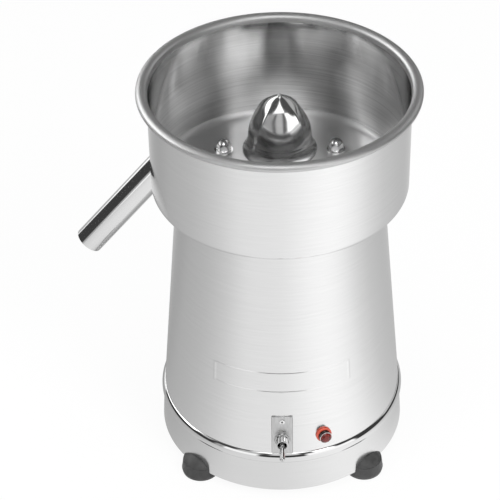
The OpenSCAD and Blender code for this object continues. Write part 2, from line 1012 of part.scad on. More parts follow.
module top_bell() {
    roof_z = bell_top_z - bell_flange_t - bell_roof_t;
    color("lightslategray")
        difference() {
            union() {
                translate([0, 0, bell_top_z - bell_flange_t])
                    cylinder(r = bell_flange_r, h = bell_flange_t);
                translate([0, 0, roof_z])
                    cylinder(r = stator_r, h = bell_roof_t + 1);
                translate([0, 0, stack_top_z])
                    ring(stator_r, bell_inner_r, bell_cup_h + 1);
                translate([0, 0, upper_bearing_z])
                    cylinder(r = boss_r, h = roof_z - upper_bearing_z + 1);
            }
            translate([0, 0, upper_bearing_z - 1])
                cylinder(r = bearing_r, h = bearing_h + 1);
            translate([0, 0, upper_bearing_z])
                cylinder(r = shaft_core_r + 1, h = bell_top_z - upper_bearing_z + 1);
            around(stud_angles, stud_circle_r)
                translate([0, 0, bell_top_z - bell_flange_t - 1])
                    cylinder(r = stud_r + hole_gap, h = bell_flange_t + 2);
            around(stud_angles, stud_circle_r)
                translate([0, 0, stud_z - 1])
                    cylinder(r = spot_face_r, h = bell_top_z - bell_flange_t - stud_z + 1);
            around(bolt_angles, bolt_circle_r)
                translate([0, 0, stack_top_z - 1])
                    cylinder(r = bolt_r, h = bolt_bite + 3);
            bell_windows(stack_top_z + 6);
        }
}

module bottom_bell() {
    color("lightslategray")
        difference() {
            union() {
                translate([0, 0, bell_floor_z])
                    cylinder(r = stator_r, h = bell_floor_t);
                translate([0, 0, bell_floor_z + 1])
                    ring(stator_r, bell_inner_r, stack_foot_z - bell_floor_z - 1);
                translate([0, 0, bell_floor_z + 1])
                    cylinder(r = boss_r, h = lower_bearing_z + bearing_h - bell_floor_z - 1);
            }
            translate([0, 0, lower_bearing_z])
                cylinder(r = bearing_r, h = bearing_h + 1);
            translate([0, 0, bell_floor_z - 1])
                cylinder(r = shaft_r + 1.5, h = lower_bearing_z - bell_floor_z + 2);
            around(bolt_angles, bolt_circle_r)
                translate([0, 0, bell_floor_z - 1])
                    cylinder(r = bolt_r + hole_gap, h = stack_foot_z - bell_floor_z + 2);
            bell_windows(bell_floor_z + bell_floor_t + 3);
        }
}

module through_bolts() {
    head_h = 3.5;
    color("grey")
        around(bolt_angles, bolt_circle_r)
            translate([0, 0, bell_floor_z - head_h]) {
                hex(8, head_h);
                cylinder(r = bolt_r, h = head_h + stack_top_z + bolt_bite - bell_floor_z);
            }
}

// ---- bearings ----

module groove() {
    translate([ball_pitch_r, bearing_h / 2])
        circle(r = groove_r);
}

module bearing_outer(z) {
    translate([0, 0, z])
        rotate_extrude()
            difference() {
                translate([race_outer_r, 0])
                    square([bearing_r - race_outer_r, bearing_h]);
                groove();
            }
}

module bearing_inner(z) {
    translate([0, 0, z])
        rotate_extrude()
            difference() {
                translate([shaft_r, 0])
                    square([race_inner_r - shaft_r, bearing_h]);
                groove();
            }
}

module bearing_balls(z) {
    for (i = [0 : ball_count - 1])
        rotate([0, 0, i * 360 / ball_count])
            translate([ball_pitch_r, 0, z + bearing_h / 2])
                sphere(r = ball_r, $fn = 32);
}

module bearing_cage(z) {
    cage_h = bearing_h - 2;
    cage_t = 1.4;
    difference() {
        translate([0, 0, z + bearing_h / 2 - cage_h / 2])
            ring(ball_pitch_r + cage_t / 2, ball_pitch_r - cage_t / 2, cage_h);
        for (i = [0 : ball_count - 1])
            rotate([0, 0, i * 360 / ball_count])
                translate([ball_pitch_r, 0, z + bearing_h / 2])
                    sphere(r = ball_r + fit, $fn = 32);
    }
}

module upper_bearing_outer() {
    color("silver")
        bearing_outer(upper_bearing_z);
}

module upper_bearing_inner() {
    color("silver")
        bearing_inner(upper_bearing_z);
}

module upper_bearing_balls() {
    color("white")
        bearing_balls(upper_bearing_z);
}

module upper_bearing_cage() {
    color("goldenrod")
        bearing_cage(upper_bearing_z);
}

module lower_bearing_outer() {
    color("silver")
        bearing_outer(lower_bearing_z);
}

module lower_bearing_inner() {
    color("silver")
        bearing_inner(lower_bearing_z);
}

module lower_bearing_balls() {
    color("white")
        bearing_balls(lower_bearing_z);
}

module lower_bearing_cage() {
    color("goldenrod")
        bearing_cage(lower_bearing_z);
}

// ---- shaft and rotor ----

module shaft_seal() {
    color("black")
        translate([0, 0, collar_top_z - seal_h - 1])
            ring(collar_bore_r, shaft_r + 0.1, seal_h);
}

module motor_shaft() {
    color("silver")
        difference() {
            union() {
                translate([0, 0, shaft_foot_z])
                    cylinder(r = shaft_r, h = shaft_top_z - shaft_foot_z);
                translate([0, 0, lower_bearing_z + bearing_h])
                    cylinder(r = shaft_core_r, h = upper_bearing_z - lower_bearing_z - bearing_h);
            }
            translate([0, 0, drive_pin_z])
                rotate([0, 90, 0])
                    cylinder(r = drive_pin_r, h = 4 * shaft_r, center = true);
        }
}

module rotor_core() {
    end_ring_h = 7;
    color("slategray")
        difference() {
            union() {
                translate([0, 0, stack_foot_z])
                    cylinder(r = rotor_r, h = stack_h);
                translate([0, 0, stack_foot_z - end_ring_h])
                    ring(rotor_r - 1.5, rotor_r - 12, stack_h + 2 * end_ring_h);
            }
            translate([0, 0, stack_foot_z - 20])
                cylinder(r = shaft_core_r, h = stack_h + 40);
        }
}

module cooling_fan() {
    plate_h = 2;
    color("dimgray")
        translate([0, 0, fan_top_z - fan_h])
            difference() {
                union() {
                    cylinder(r = fan_hub_r, h = fan_h);
                    translate([0, 0, fan_h - plate_h])
                        cylinder(r = fan_d / 2, h = plate_h);
                    for (i = [0 : fan_blades - 1])
                        rotate([0, 0, i * 360 / fan_blades])
                            translate([fan_hub_r - 1, -1, 2])
                                cube([fan_d / 2 - fan_hub_r - 1, 2, fan_h - 3]);
                }
                translate([0, 0, -1])
                    cylinder(r = shaft_r, h = fan_h + 2);
            }
}

module slinger() {
    color("black")
        translate([0, 0, collar_top_z + slinger_gap]) {
            ring(slinger_r, shaft_r, slinger_h);
            translate([0, 0, -3])
                ring(slinger_r, collar_r + 0.6, 4);
        }
}

module drive_pin() {
    color("silver")
        translate([0, 0, drive_pin_z])
            rotate([0, 90, 0])
                cylinder(r = drive_pin_r, h = drive_pin_len, center = true);
}

// ---- reamer ----

// 0 below low, 1 above high, and a smooth rise between them
function rise(value, low, high) =
    let (t = min(1, max(0, (value - low) / (high - low))))
    t * t * (3 - 2 * t);
// Radius of the high ridges at a height
function crest_r(z) =
    let (up = max(0, z - dome_foot_z) / (dome_top_z - dome_foot_z))
    max(min(point_r, point_slope * (reamer_tip_z - z)), reamer_dome_r * (1 - pow(up, dome_fullness)));
// Radius of a hollow of radius scoop_r that meets the ridges: side is the angle from its
// middle to a ridge, and off the angle from its middle to the direction asked for
function hollow_r_at(crest, side, off) =
    let (centre = crest * cos(side) + sqrt(scoop_r * scoop_r - pow(crest * sin(side), 2)))
    centre * cos(off) - sqrt(scoop_r * scoop_r - pow(centre * sin(off), 2));
// Radius of the reamer at a height and in a direction
function reamer_r(z, a) =
    let (crest = crest_r(z))
    let (from_low = abs((a + 45) % 90 - 45))
    let (spread = flute_spread * rise(flute_top_z - z, 0, flute_top_z - dome_foot_z))
    let (depth = crest - hollow_r_at(crest, 45 - spread, from_low - spread))
    crest - max(0, depth) * scoop_share * rise(crest, 1, 5) * rise(z, dome_foot_z - 2, dome_foot_z + 32);

module reamer_dome() {
    sides = 72;
    rings = 20;
    root_h = 3;
    dome_h = reamer_tip_z - dome_foot_z - 0.3;
    levels = [for (i = [0 : rings - 1]) dome_foot_z + 0.3 + dome_h * sin(i * 90 / (rings + 1))];
    points = [
        for (a = [0 : 360 / sides : 359])
            let (r = reamer_dome_r - 0.5)
            [r * cos(a + ridge_turn), r * sin(a + ridge_turn), dome_foot_z - root_h],
        for (z = levels)
            for (a = [0 : 360 / sides : 359])
                let (r = reamer_r(z, a))
                [r * cos(a + ridge_turn), r * sin(a + ridge_turn), z],
        [0, 0, reamer_tip_z]
    ];
    faces = [
        [for (a = [0 : sides - 1]) a],
        for (i = [0 : rings - 1])
            for (a = [0 : sides - 1])
                let (b = (a + 1) % sides)
                each [
                    [i * sides + a, (i + 1) * sides + a, (i + 1) * sides + b],
                    [i * sides + a, (i + 1) * sides + b, i * sides + b]
                ],
        for (a = [0 : sides - 1])
            [rings * sides + a, len(points) - 1, rings * sides + (a + 1) % sides]
    ];
    polyhedron(points, faces);
}

module reamer_foot() {
    lip_h = 2;
    neck_r = reamer_dome_r + 0.15;
    flare_h = dome_foot_z - reamer_z - lip_h;
    flare_w = reamer_flange_r - neck_r;
    flare_arc_r = (flare_h * flare_h + flare_w * flare_w) / (2 * flare_w);
    rotate_extrude()
        difference() {
            translate([0, reamer_z])
                square([reamer_flange_r, dome_foot_z - reamer_z]);
            translate([neck_r + flare_arc_r, dome_foot_z])
                circle(r = flare_arc_r);
        }
}

module reamer() {
    color("lightgray")
        difference() {
            union() {
                reamer_dome();
                reamer_foot();
            }
            translate([0, 0, reamer_z - 1])
                cylinder(r = hollow_r, h = hollow_h + 1);
            translate([0, 0, reamer_z])
                cylinder(r = shaft_r + fit, h = shaft_top_z + 0.3 - reamer_z);
            translate([-drive_pin_len / 2 - 0.5, -drive_pin_r - 0.15, hub_z - 1])
                cube([drive_pin_len + 1, drive_pin_d + 0.3, drive_pin_d + 1.1]);
        }
}

// ---- the assembly ----

bowl();
bowl_collar();
spout_tube();
dome_nuts();
dome_nut_washers();
mounting_studs();
stud_nuts();
bowl_gasket();
body_shell();
base_ring();
base_pillars();
base_screws();
bottom_cover();
cover_screws();
foot_front_left();
foot_front_right();
foot_rear_left();
foot_rear_right();
foot_bolts();
foot_nuts();
switch_plate();
plate_rivets();
toggle_body();
toggle_bushing();
toggle_washer();
toggle_nut();
toggle_terminals();
toggle_lever();
lamp_flange();
lamp_barrel();
lamp_lens();
lamp_nut();
lamp_body();
cord_grommet();
capacitor();
capacitor_clamp();
capacitor_screw();
stator_core();
stator_windings();
top_bell();
bottom_bell();
through_bolts();
upper_bearing_outer();
upper_bearing_inner();
upper_bearing_balls();
upper_bearing_cage();
lower_bearing_outer();
lower_bearing_inner();
lower_bearing_balls();
lower_bearing_cage();
shaft_seal();
motor_shaft();
rotor_core();
cooling_fan();
slinger();
drive_pin();
reamer();
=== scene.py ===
import math

import bpy
import numpy as np
from mathutils import Matrix, Vector


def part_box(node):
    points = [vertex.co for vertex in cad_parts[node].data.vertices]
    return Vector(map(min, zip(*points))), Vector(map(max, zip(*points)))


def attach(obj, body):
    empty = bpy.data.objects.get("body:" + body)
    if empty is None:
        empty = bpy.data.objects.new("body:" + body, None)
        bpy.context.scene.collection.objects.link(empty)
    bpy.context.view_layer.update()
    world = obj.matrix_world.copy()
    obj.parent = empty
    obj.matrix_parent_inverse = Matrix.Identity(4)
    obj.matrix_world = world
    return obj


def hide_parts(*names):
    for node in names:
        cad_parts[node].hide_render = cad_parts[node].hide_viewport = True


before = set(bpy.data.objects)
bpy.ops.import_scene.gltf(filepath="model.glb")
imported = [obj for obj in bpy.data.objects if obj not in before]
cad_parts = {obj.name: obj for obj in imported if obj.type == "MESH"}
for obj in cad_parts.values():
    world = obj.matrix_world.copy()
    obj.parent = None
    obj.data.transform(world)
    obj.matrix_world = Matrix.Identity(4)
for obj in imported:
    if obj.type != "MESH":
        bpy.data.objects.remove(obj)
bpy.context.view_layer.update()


# ---- base ring ----
# A skirt spun from bright stainless sheet, a little wider at its lower edge, with a rolled bead
# along its top. The motor stand is screwed down on the flange that turns in under the bead.

MM = 0.001


class Shade:
    """A value in a material's nodes. Sums on it add the Math nodes."""

    def __init__(self, tree, socket=None):
        self.tree = tree
        self.socket = socket

    def add(self, kind, settings=None, sockets=None, out=0):
        """A new node of a kind: its settings go in first, then its sockets' values or links."""
        made = self.tree.nodes.new("ShaderNode" + kind)
        for name, value in (settings or {}).items():
            if name == "stops":
                while len(made.color_ramp.elements) < len(value):
                    made.color_ramp.elements.new(0.5)
                for stop, (place, level) in zip(made.color_ramp.elements, value):
                    stop.position = place
                    stop.color = (level, level, level, 1)
            elif name == "easing":
                made.color_ramp.interpolation = value
            else:
                setattr(made, name, value)
        for name, value in (sockets or {}).items():
            if isinstance(value, Shade):
                self.tree.links.new(value.socket, made.inputs[name])
            elif made.inputs[name].type == "RGBA":
                made.inputs[name].default_value = (*value, 1)
            else:
                made.inputs[name].default_value = value
        return Shade(self.tree, made.outputs[out]) if made.outputs else None

    def other(self, name):
        """Another output of the same node."""
        return Shade(self.tree, self.socket.node.outputs[name])

    def maths(self, operation, *values):
        """A Math node on some values."""
        return self.add("Math", {"operation": operation}, dict(enumerate(values)))

    def __add__(self, more):
        return self.maths("ADD", self, more)

    def __sub__(self, less):
        return self.maths("SUBTRACT", self, less)

    def __rsub__(self, more):
        return self.maths("SUBTRACT", more, self)

    def __mul__(self, times):
        return self.maths("MULTIPLY", self, times)

    def __truediv__(self, parts):
        return self.maths("DIVIDE", self, parts)

    def __pow__(self, power):
        return self.maths("POWER", self, power)

    __radd__ = __add__
    __rmul__ = __mul__

    def step(self, low, high):
        """0 below low, 1 above high, and a smooth rise between them."""
        sockets = {"Value": self, "From Min": low, "From Max": high}
        return self.add("MapRange", {"interpolation_type": "SMOOTHSTEP"}, sockets)

    def between(self, low, high):
        """The value 0 to 1 spread from low to high."""
        return self * (high - low) + low

    def blend(self, first, second):
        """The first colour where this value is 0, and the second where it is 1."""
        return self.add("Mix", {"data_type": "RGBA"}, {0: self, 6: first, 7: second}, out=2)


def new_finish(name):
    """An empty material: itself, its shader, and a Shade to write its nodes with."""
    material = bpy.data.materials.new(name)
    material.use_nodes = True
    return material, material.node_tree.nodes["Principled BSDF"], Shade(material.node_tree)


def feed(shader, **values):
    """Sets or links the sockets of a shader. A name has _ in place of each space."""
    for name, value in values.items():
        socket = shader.inputs[name.replace("_", " ")]
        if isinstance(value, Shade):
            value.tree.links.new(value.socket, socket)
        elif socket.type == "RGBA":
            socket.default_value = (*value, 1)
        else:
            socket.default_value = value


def place_of(shade):
    """The x, y and z of a point on a piece, in metres, and its distance from the axis."""
    x = shade.add("SeparateXYZ", None, {0: shade.add("TexCoord", None, None, "Object")})
    y, z = x.other("Y"), x.other("Z")
    return x, y, z, (x * x + y * y) ** 0.5


def turned_lines(shade, pitch, length):
    """Fine lines round the axis, left by polishing on a lathe, each about as long as length."""
    x, y, z, radius = place_of(shade)
    swirl = shade.add("CombineXYZ", None, {0: x / length, 1: y / length, 2: (z + radius) / pitch})
    return shade.add("TexNoise", None, {"Vector": swirl, "Scale": 1.0, "Detail": 3.0, "Roughness": 0.6})


def cloud(shade, size, detail=3.0):
    """Soft patches of about a size, such as handling leaves on steel."""
    place = shade.add("TexCoord", None, None, "Object")
    return shade.add("TexNoise", None, {"Vector": place, "Scale": 1 / size, "Detail": detail})


def turned(name, outline, material, sides=96, shape=None, place=None, ring=False, crease=35):
    """A piece turned from an outline of (radius, height) points in millimetres, given from the
    axis below, round the outside, to the axis above. shape(radius, height, angle) may change a
    radius, and place moves the piece from its own axis to where it belongs."""
    spots, rows = [], []
    for radius, height in outline:
        row = []
        for i in range(sides if radius > 1e-6 else 1):
            angle = 360 * i / sides
            r = shape(radius, height, angle) if shape else radius
            row.append(len(spots))
            spots.append((r * math.cos(math.radians(angle)), r * math.sin(math.radians(angle)), height))
        rows.append(row)
    faces = []
    for low, high in zip(rows, rows[1:] + rows[:1] if ring else rows[1:]):
        for i in range(sides):
            j = (i + 1) % sides
            a, b, c, d = low[i % len(low)], low[j % len(low)], high[j % len(high)], high[i % len(high)]
            corners = [v for k, v in enumerate((a, b, c, d)) if v not in (a, b, c, d)[:k]]
            if len(corners) > 2:
                faces.append(corners)
    mesh = bpy.data.meshes.new(name)
    mesh.from_pydata(spots, [], faces)
    mesh.transform((place or Matrix()) @ Matrix.Scale(MM, 4))
    mesh.shade_smooth()
    mesh.set_sharp_from_angle(angle=math.radians(crease))
    mesh.materials.append(material)
    piece = bpy.data.objects.new(name, mesh)
    bpy.context.scene.collection.objects.link(piece)
    return piece


def arc(centre, radius, start, end, steps=8):
    """Points of an outline on an arc, from one angle to another in degrees."""
    turn = [math.radians(start + (end - start) * i / steps) for i in range(steps + 1)]
    return [(centre[0] + radius * math.cos(a), centre[1] + radius * math.sin(a)) for a in turn]


def stands_for(piece, body, slot, *replaced):
    """The piece rides on a body and is shown in place of CAD nodes. Its slot is not used."""
    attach(piece, body)
    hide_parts(*replaced)


def bright_steel(name, grey, roughness, groove, anisotropic, polished_above=None):
    """Polished stainless sheet. groove is the depth of its polishing lines. Above a height, where
    one is given, it was buffed to a mirror."""
    material, shader, shade = new_finish(name)
    lines = turned_lines(shade, 1.4 * MM, 60 * MM) * 0.5 + turned_lines(shade, 0.5 * MM, 25 * MM) * 0.5
    handled = cloud(shade, 70 * MM)
    tone = lines.step(0.3, 0.7).blend([grey * 0.95] * 3, [grey] * 3)
    rough = (handled - 0.5) * 0.05 + (lines - 0.5) * 0.05 + roughness
    if polished_above:
        buffed = place_of(shade)[2].step(polished_above - 0.3 * MM, polished_above + 0.3 * MM)
        rough = rough * (1 - buffed * 0.8)
    ridges = shade.add("Bump", None, {"Strength": 1.0, "Distance": groove, "Height": lines})
    feed(shader, Base_Color=tone, Metallic=1.0, Roughness=rough, Normal=ridges,
         Anisotropic=anisotropic, Anisotropic_Rotation=0.25)
    return material


def dress(material, *names):
    """Gives CAD pieces a finish."""
    for name in names:
        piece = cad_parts[name]
        piece.data.materials.clear()
        piece.data.materials.append(material)


low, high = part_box("base_ring")
skirt_r, edge_z, ring_top = high.x / MM, low.z / MM, high.z / MM
ring_t, skirt_top = 1.2, 47.0
bead_at, bead_r = (skirt_r - 8.1, ring_top - 6.5), 8
flange_in, flange_out = 112, 121.4
ring_outline = [(skirt_r - ring_t, edge_z), (skirt_r, edge_z), (skirt_r - 1.1, edge_z + 19)]
ring_outline += [(skirt_r - 2.15, skirt_top), (skirt_r - 1.7, skirt_top)] + arc(bead_at, bead_r, -34, 53, 20)
ring_outline += [(flange_out - 0.2, ring_top), (flange_in, ring_top), (flange_in, ring_top - ring_t)]
ring_outline += [(119, ring_top - ring_t), (flange_out, ring_top - 4), (flange_out, skirt_top)]
base_steel = bright_steel("base_steel", 0.77, 0.16, 0.0008 * MM, 0.3, (skirt_top - 0.1) * MM)
base_ring = turned("base_ring_spun", ring_outline, base_steel, 288, ring=True)
stands_for(base_ring, "stand", "base_steel", "base_ring")


# ---- feet ----
# Four feet moulded in dark grey rubber, slotted over the lower edge of the skirt and held by a
# bolt each. Their dull skin catches a little light along the crease above the lip.

def rubber(name, grey, roughness):
    """Moulded rubber: a dull skin with a fine grain and a bloom of dust."""
    material, shader, shade = new_finish(name)
    grain = cloud(shade, 0.5 * MM, 2.0)
    dust = cloud(shade, 9 * MM).step(0.4, 0.75)
    skin = shade.add("Bump", None, {"Strength": 0.5, "Distance": 0.04 * MM, "Height": grain})
    feed(shader, Base_Color=dust.blend([grey] * 3, [grey * 1.5] * 3), Normal=skin,
         Roughness=dust.between(roughness, roughness + 0.15), Specular_IOR_Level=0.45)
    return material


foot_rubber = rubber("foot_rubber", 0.045, 0.42)
dress(foot_rubber, "foot_front_left", "foot_front_right", "foot_rear_left", "foot_rear_right")


# ---- body ----
# The motor stand: a steep cone of the same bright sheet, with a plain pressed frame on its front.
# A thin rubber gasket lies between it and the bowl.

low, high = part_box("body_shell")
body_foot_r, body_foot_z, body_top_z = high.x / MM, low.z / MM, high.z / MM
taper = math.radians(4.913)
# the pressed frame: the heights of its lower and upper line, half its width in degrees, how far it
# reaches beyond them, and the height and softness of its ridge
frame_low, frame_high, frame_half, frame_reach = 133, 155, 35, 4
ridge_h, ridge_w = 0.42, 0.9


def body_r(z):
    """The radius of the cone at a height."""
    return body_foot_r - (z - body_foot_z) * math.tan(taper)


def pressed(r, z, angle):
    """The frame pressed into the front: a soft ridge along a rectangle wrapped on the cone."""
    if not frame_low - frame_reach < z < frame_high + frame_reach or r < body_r(z) - 0.3:
        return r
    from_front = abs((angle - 270 + 180) % 360 - 180)
    across = (from_front - frame_half) * math.radians(1) * r
    up = abs(z - (frame_low + frame_high) / 2) - (frame_high - frame_low) / 2
    off = max(across, up) if min(across, up) < 0 else math.hypot(across, up)
    return r + ridge_h * math.exp(-(off / ridge_w) ** 2)


body_t, body_foot_in, top_hole_r, top_r = 1.2, 119.8, 72, body_r(body_top_z)
frame_rows = [frame_low - frame_reach + 0.5 * i for i in range(61)]
heights = [80, 105, 125] + frame_rows + [175, 200, 225, 250, 275, body_top_z - 1.5]
body_outline = [(body_foot_in, body_foot_z), (body_foot_r, body_foot_z)] + [(body_r(z), z) for z in heights]
body_outline += [(top_r - body_t, body_top_z), (top_hole_r, body_top_z), (top_hole_r, body_top_z - body_t)]
body_outline += [(top_r - 2, body_top_z - body_t), (top_r - 1.3, body_top_z - 4)]
body_steel = bright_steel("body_steel", 0.86, 0.19, 0.0005 * MM, 0.4)
body = turned("body_cone", body_outline, body_steel, 720, pressed, ring=True)
stands_for(body, "stand", "body_steel", "body_shell")
dress(foot_rubber, "bowl_gasket")


# ---- bowl ----
# A deep bowl spun from one sheet, with its rim rolled outwards into a flattened bead. The outside
# is polished, the rim is satin, and the inside keeps the lines of its brushing, which draw every
# reflection out into an upright streak.

def bored(piece, radius, length, place):
    """Bores a round hole through a piece, along the Z of a place."""
    drill = turned("drill", [(0, -length / 2), (radius, -length / 2), (radius, length / 2), (0, length / 2)],
                   piece.data.materials[0], 64, place=place)
    cut = piece.modifiers.new("bore", "BOOLEAN")
    cut.operation, cut.solver, cut.object = "DIFFERENCE", "EXACT", drill
    bpy.context.view_layer.update()
    seen = piece.evaluated_get(bpy.context.evaluated_depsgraph_get())
    piece.modifiers.clear()
    piece.data = bpy.data.meshes.new_from_object(seen)
    bpy.data.objects.remove(drill)


def brushed_inside(floor_z):
    """The inside of the bowl: turned to fine lines, and duller on its floor. The floor's colour is also
    lighter: painted light from above.
    """
    material, shader, shade = new_finish("bowl_inside")
    floor_dull_and_lit = 1 - place_of(shade)[2].step(floor_z + 3 * MM, floor_z + 9 * MM)
    lines = turned_lines(shade, 1.1 * MM, 160 * MM) * 0.5 + turned_lines(shade, 0.45 * MM, 60 * MM) * 0.5
    handled = cloud(shade, 80 * MM)
    ridges = shade.add("Bump", None, {"Strength": 1.0, "Distance": 0.004 * MM, "Height": lines})
    wall_tone = lines.step(0.3, 0.7).blend([0.54] * 3, [0.8] * 3)
    # painted light: the floor's colour is lighter than the walls of the same sheet; its extra roughness is
    # real
    feed(shader, Base_Color=floor_dull_and_lit.blend(wall_tone, [0.93] * 3), Metallic=1.0, Normal=ridges,
         Roughness=(handled - 0.5) * 0.04 + (lines - 0.5) * 0.1 + floor_dull_and_lit * 0.28 + 0.14,
         Anisotropic=0.9, Anisotropic_Rotation=0.25)
    return material


def satin(name, grey, roughness):
    """Steel rubbed to a satin with fine cloth."""
    material, shader, shade = new_finish(name)
    rubbed = turned_lines(shade, 0.3 * MM, 20 * MM)
    handled = cloud(shade, 40 * MM)
    feed(shader, Base_Color=rubbed.step(0.3, 0.7).blend([grey * 0.94] * 3, [grey] * 3), Metallic=1.0,
         Roughness=(handled - 0.5) * 0.06 + roughness,
         Normal=shade.add("Bump", None, {"Strength": 1.0, "Distance": 0.001 * MM, "Height": rubbed}))
    return material


low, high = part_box("bowl")
bowl_z, rim_top_z, rim_r = low.z / MM, high.z / MM, high.x / MM
sheet_t, wall_out, corner_r = 1.2, 124.0, 8
shaft_hole_r, mid_r = 14.5, 60
wall_in, floor_top = wall_out - sheet_t, bowl_z + sheet_t
corner_at, corner_z = wall_out - corner_r, bowl_z + corner_r
roll_w, roll_h = 10.6, 8.2
roll_at, roll_z = rim_r - roll_w / 2, rim_top_z - roll_h / 2
spout_z, spout_slope, spout_bore_r = bowl_z + 11.4, 50.3, 12.8


def on_roll(angle):
    """A point on the rolled rim."""
    a = math.radians(angle)
    return (roll_at + roll_w / 2 * math.cos(a), roll_z + roll_h / 2 * math.sin(a))


def outside(radius, z):
    """Whether a spot below the rim is on the outer skin of the sheet."""
    on_corner = radius > corner_at and z < corner_z
    beyond_corner = math.hypot(radius - corner_at, z - corner_z) > corner_r - sheet_t / 2
    return radius > wall_out - sheet_t / 2 or z < bowl_z + sheet_t / 2 or on_corner and beyond_corner


bowl_outline = [(shaft_hole_r, bowl_z), (mid_r, bowl_z)] + arc((corner_at, corner_z), corner_r, 270, 360, 12)
bowl_outline += [(wall_out, bowl_z + h) for h in (20, 40, 60, 80)] + [(wall_out, roll_z - roll_h / 2 + 0.6)]
bowl_outline += [on_roll(angle) for angle in range(-96, 176, 8)]
bowl_outline += [(wall_in, roll_z - 3)] + [(wall_in, bowl_z + h) for h in (100, 80, 60, 40, 20)]
bowl_outline += arc((corner_at, corner_z), corner_r - sheet_t, 0, -90, 12)
bowl_outline += [(mid_r, floor_top), (shaft_hole_r, floor_top)]
bowl = turned("bowl_sheet", bowl_outline, brushed_inside(floor_top * MM), 360, ring=True)
bowl.data.materials.append(bright_steel("bowl_outside", 0.86, 0.1, 0.0003 * MM, 0.2))
bowl.data.materials.append(satin("bowl_rim", 0.68, 0.48))
for face in bowl.data.polygons:
    x, y, z = face.center / MM
    radius = math.hypot(x, y)
    if z > roll_z - 3.4 or radius > wall_out + 0.3:
        face.material_index = 2
    elif outside(radius, z):
        face.material_index = 1
spout_turn = Matrix.Rotation(math.radians(-90 - spout_slope), 4, "Y")
bored(bowl, spout_bore_r, 60, Matrix.Translation((-wall_out * MM, 0, spout_z * MM)) @ spout_turn)
stands_for(bowl, "stand", "bowl_steel", "bowl")


# ---- spout ----
# A length of stainless tube, polished bright and welded over a hole in the bowl's lower corner.
# The juice runs out through it into a glass.

dress(bright_steel("spout_steel", 0.86, 0.1, 0.001 * MM, 0.0), "spout_tube")


# ---- dome nuts ----
# Four plated dome nuts on plain washers, inside the bowl. They clamp it down on the studs of the
# motor's top bell, and keep the juice off the threads.

def hexagon(flats):
    """Cuts a turned radius back to the six flats of a nut."""
    return lambda r, z, angle: min(r, flats / 2 / math.cos(math.radians((angle + 30) % 60 - 30)))


nut_flats, dome_z, nut_dome_r, stud_circle = 13, 4.1, 7.2, 78.4
seat_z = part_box("dome_nuts")[0].z / MM
nut_outline = [(0, 0), (6.4, 0), (7.5, 0.6), (7.5, 3.5), (7.1, dome_z)]
nut_outline += arc((0, dome_z), nut_dome_r, 5, 90, 16)[:-1] + [(0, dome_z + nut_dome_r)]
chrome = bright_steel("chrome", 0.88, 0.06, 0.0005 * MM, 0.0)
nut_steel = bright_steel("nut_steel", 0.7, 0.2, 0.0005 * MM, 0.0)
for i in range(4):
    around = math.radians(45 + 90 * i)
    x, y = stud_circle * MM * math.cos(around), stud_circle * MM * math.sin(around)
    # each nut stopped at its own angle when it was tightened
    seat = Matrix.Translation((x, y, seat_z * MM)) @ Matrix.Rotation(0.35 + 1.3 * i, 4, "Z")
    nut = turned(f"dome_nut_{i + 1}", nut_outline, nut_steel, 120, hexagon(nut_flats), seat)
    stands_for(nut, "stand", "chrome", "dome_nuts")
dress(chrome, "dome_nut_washers")


# ---- reamer ----
# A heavy reamer, cast and polished, that drops on the shaft and is turned by the drive pin. Four
# ridges run down from its point, and each hollow between them parts into two flutes low down.

low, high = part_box("reamer")
under_z, tip_z = low.z / MM, high.z / MM
dome_r, foot_z = 30.4, under_z + 15
top_z, fullness = tip_z - 2.5, 3.1
point_r, point_slope = 4, 0.75
scoop_r, scoop_share = 60, 0.42
flute_top_z, flute_spread = tip_z - 14.5, 17
ridge_turn = 5


def rise(value, low, high):
    """0 below low, 1 above high, and a smooth rise between them."""
    t = min(1, max(0, (value - low) / (high - low)))
    return t * t * (3 - 2 * t)


def crest_r(z):
    """The radius of the ridges: a blunt dome with a small point on it."""
    dome = dome_r * (1 - (max(0, z - foot_z) / (top_z - foot_z)) ** fullness)
    return max(min(point_r, point_slope * (tip_z - z)), dome)


def scooped(crest, z, angle):
    """The radius in a direction: scooped between the ridges, with two flutes low in each scoop."""
    from_low = abs((angle - ridge_turn + 45) % 90 - 45)
    spread = flute_spread * rise(flute_top_z - z, 0, flute_top_z - foot_z)
    side, off = math.radians(45 - spread), math.radians(from_low - spread)
    middle = crest * math.cos(side) + math.sqrt(scoop_r ** 2 - (crest * math.sin(side)) ** 2)
    hollow = middle * math.cos(off) - math.sqrt(scoop_r ** 2 - (middle * math.sin(off)) ** 2)
    # the hollows fade out towards the point and towards the foot
    fade = rise(crest, 6, 26) * rise(z, foot_z - 2, foot_z + 32)
    return crest - max(0, crest - hollow) * scoop_share * fade


def fluted(r, z, angle):
    """Rounds the crest of each ridge by taking the mean of near angles."""
    if z < foot_z or r < 0.01:
        return r
    return sum(scooped(r, z, angle + step) for step in (-3, -1.5, 0, 1.5, 3)) / 5


neck_r, lip_r, lip_z, lip_edge = dome_r + 0.15, 35.6, under_z + 2, 0.4
bore_r, bore_top, recess_r = 6.05, under_z + 45.8, 23
flare_w, flare_h = lip_r - neck_r, foot_z - lip_z
flare_r = (flare_h ** 2 + flare_w ** 2) / (2 * flare_w)
flare_turn = math.degrees(math.asin(flare_h / flare_r))
reamer_outline = [(0, bore_top), (bore_r, bore_top), (bore_r, foot_z), (recess_r, foot_z)]
reamer_outline += [(recess_r, under_z), (lip_r - lip_edge, under_z), (lip_r, under_z + lip_edge)]
reamer_outline.append((lip_r, lip_z - lip_edge))
reamer_outline += arc((neck_r + flare_r, foot_z), flare_r, 180 + flare_turn - 2, 180, 10)
dome_steps = 90
for i in range(1, dome_steps):
    z = foot_z + (tip_z - foot_z) * math.sin(math.pi / 2 * i / dome_steps)
    reamer_outline.append((crest_r(z), z))
reamer_outline.append((0, tip_z))
reamer_metal = bright_steel("reamer_metal", 0.56, 0.15, 0.0005 * MM, 0.0)
